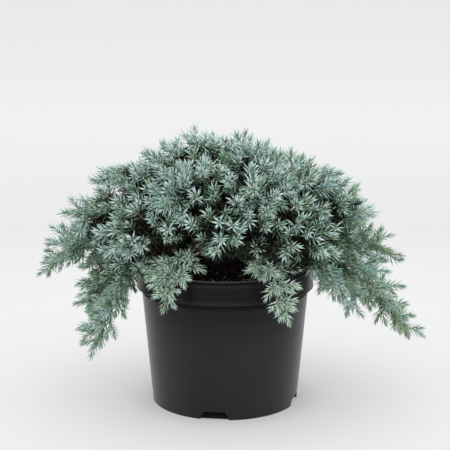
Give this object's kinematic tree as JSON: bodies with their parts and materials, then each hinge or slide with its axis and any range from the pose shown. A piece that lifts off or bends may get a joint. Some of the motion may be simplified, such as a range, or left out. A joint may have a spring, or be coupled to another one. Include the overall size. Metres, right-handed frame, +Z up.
{
  "type": "potted blue star juniper",
  "caption": "Low spreading juniper with dense blue-green needle foliage that weeps over the rim of a round tapered black nursery pot.",
  "frame": {"origin": "centre of the pot's flat underside", "axes": "+Z up along the pot's axis; -Y is the front, with the open place over the pot's rim; +X is the right seen from the front"},
  "size_m": [0.4149, 0.3298, 0.2938],
  "materials": {
    "pot_plastic": "satin black, injection moulded",
    "potting_mix": "dark moist peat with ochre fibres",
    "bark": "flaking red-brown bark",
    "needles": "waxy blue-green needles"
  },
  "bodies": {
    "root": {"pot": "pot_plastic", "potting_mix": "potting_mix", "stem": "bark", "bough_crown_left": "bark", "bough_crown_right": "bark", "bough_crown_back": "bark", "bough_shoulder_front_left": "bark", "bough_shoulder_front_right": "bark", "bough_shoulder_right": "bark", "bough_shoulder_back_right": "bark", "bough_shoulder_back_left": "bark", "bough_shoulder_left": "bark", "bough_side_front": "bark", "bough_side_front_right": "bark", "bough_side_right": "bark", "bough_side_back_right": "bark", "bough_side_back": "bark", "bough_side_back_left": "bark", "bough_side_left": "bark", "bough_side_front_left": "bark", "bough_skirt_front_left": "bark", "bough_skirt_front_right": "bark", "bough_skirt_right_front": "bark", "bough_skirt_right_low": "bark", "bough_skirt_right": "bark", "bough_skirt_back_right": "bark", "bough_skirt_back": "bark", "bough_skirt_back_left": "bark", "bough_skirt_left": "bark", "bough_skirt_left_low": "bark", "bough_skirt_left_front": "bark", "foliage_crown_left": "needles", "foliage_crown_right": "needles", "foliage_crown_back": "needles", "foliage_shoulder_front_left": "needles", "foliage_shoulder_front_right": "needles", "foliage_shoulder_right": "needles", "foliage_shoulder_back_right": "needles", "foliage_shoulder_back_left": "needles", "foliage_shoulder_left": "needles", "foliage_side_front": "needles", "foliage_side_front_right": "needles", "foliage_side_right": "needles", "foliage_side_back_right": "needles", "foliage_side_back": "needles", "foliage_side_back_left": "needles", "foliage_side_left": "needles", "foliage_side_front_left": "needles", "foliage_skirt_front_left": "needles", "foliage_skirt_front_right": "needles", "foliage_skirt_right_front": "needles", "foliage_skirt_right_low": "needles", "foliage_skirt_right": "needles", "foliage_skirt_back_right": "needles", "foliage_skirt_back": "needles", "foliage_skirt_back_left": "needles", "foliage_skirt_left": "needles", "foliage_skirt_left_low": "needles", "foliage_skirt_left_front": "needles"}
  },
  "joints": []
}
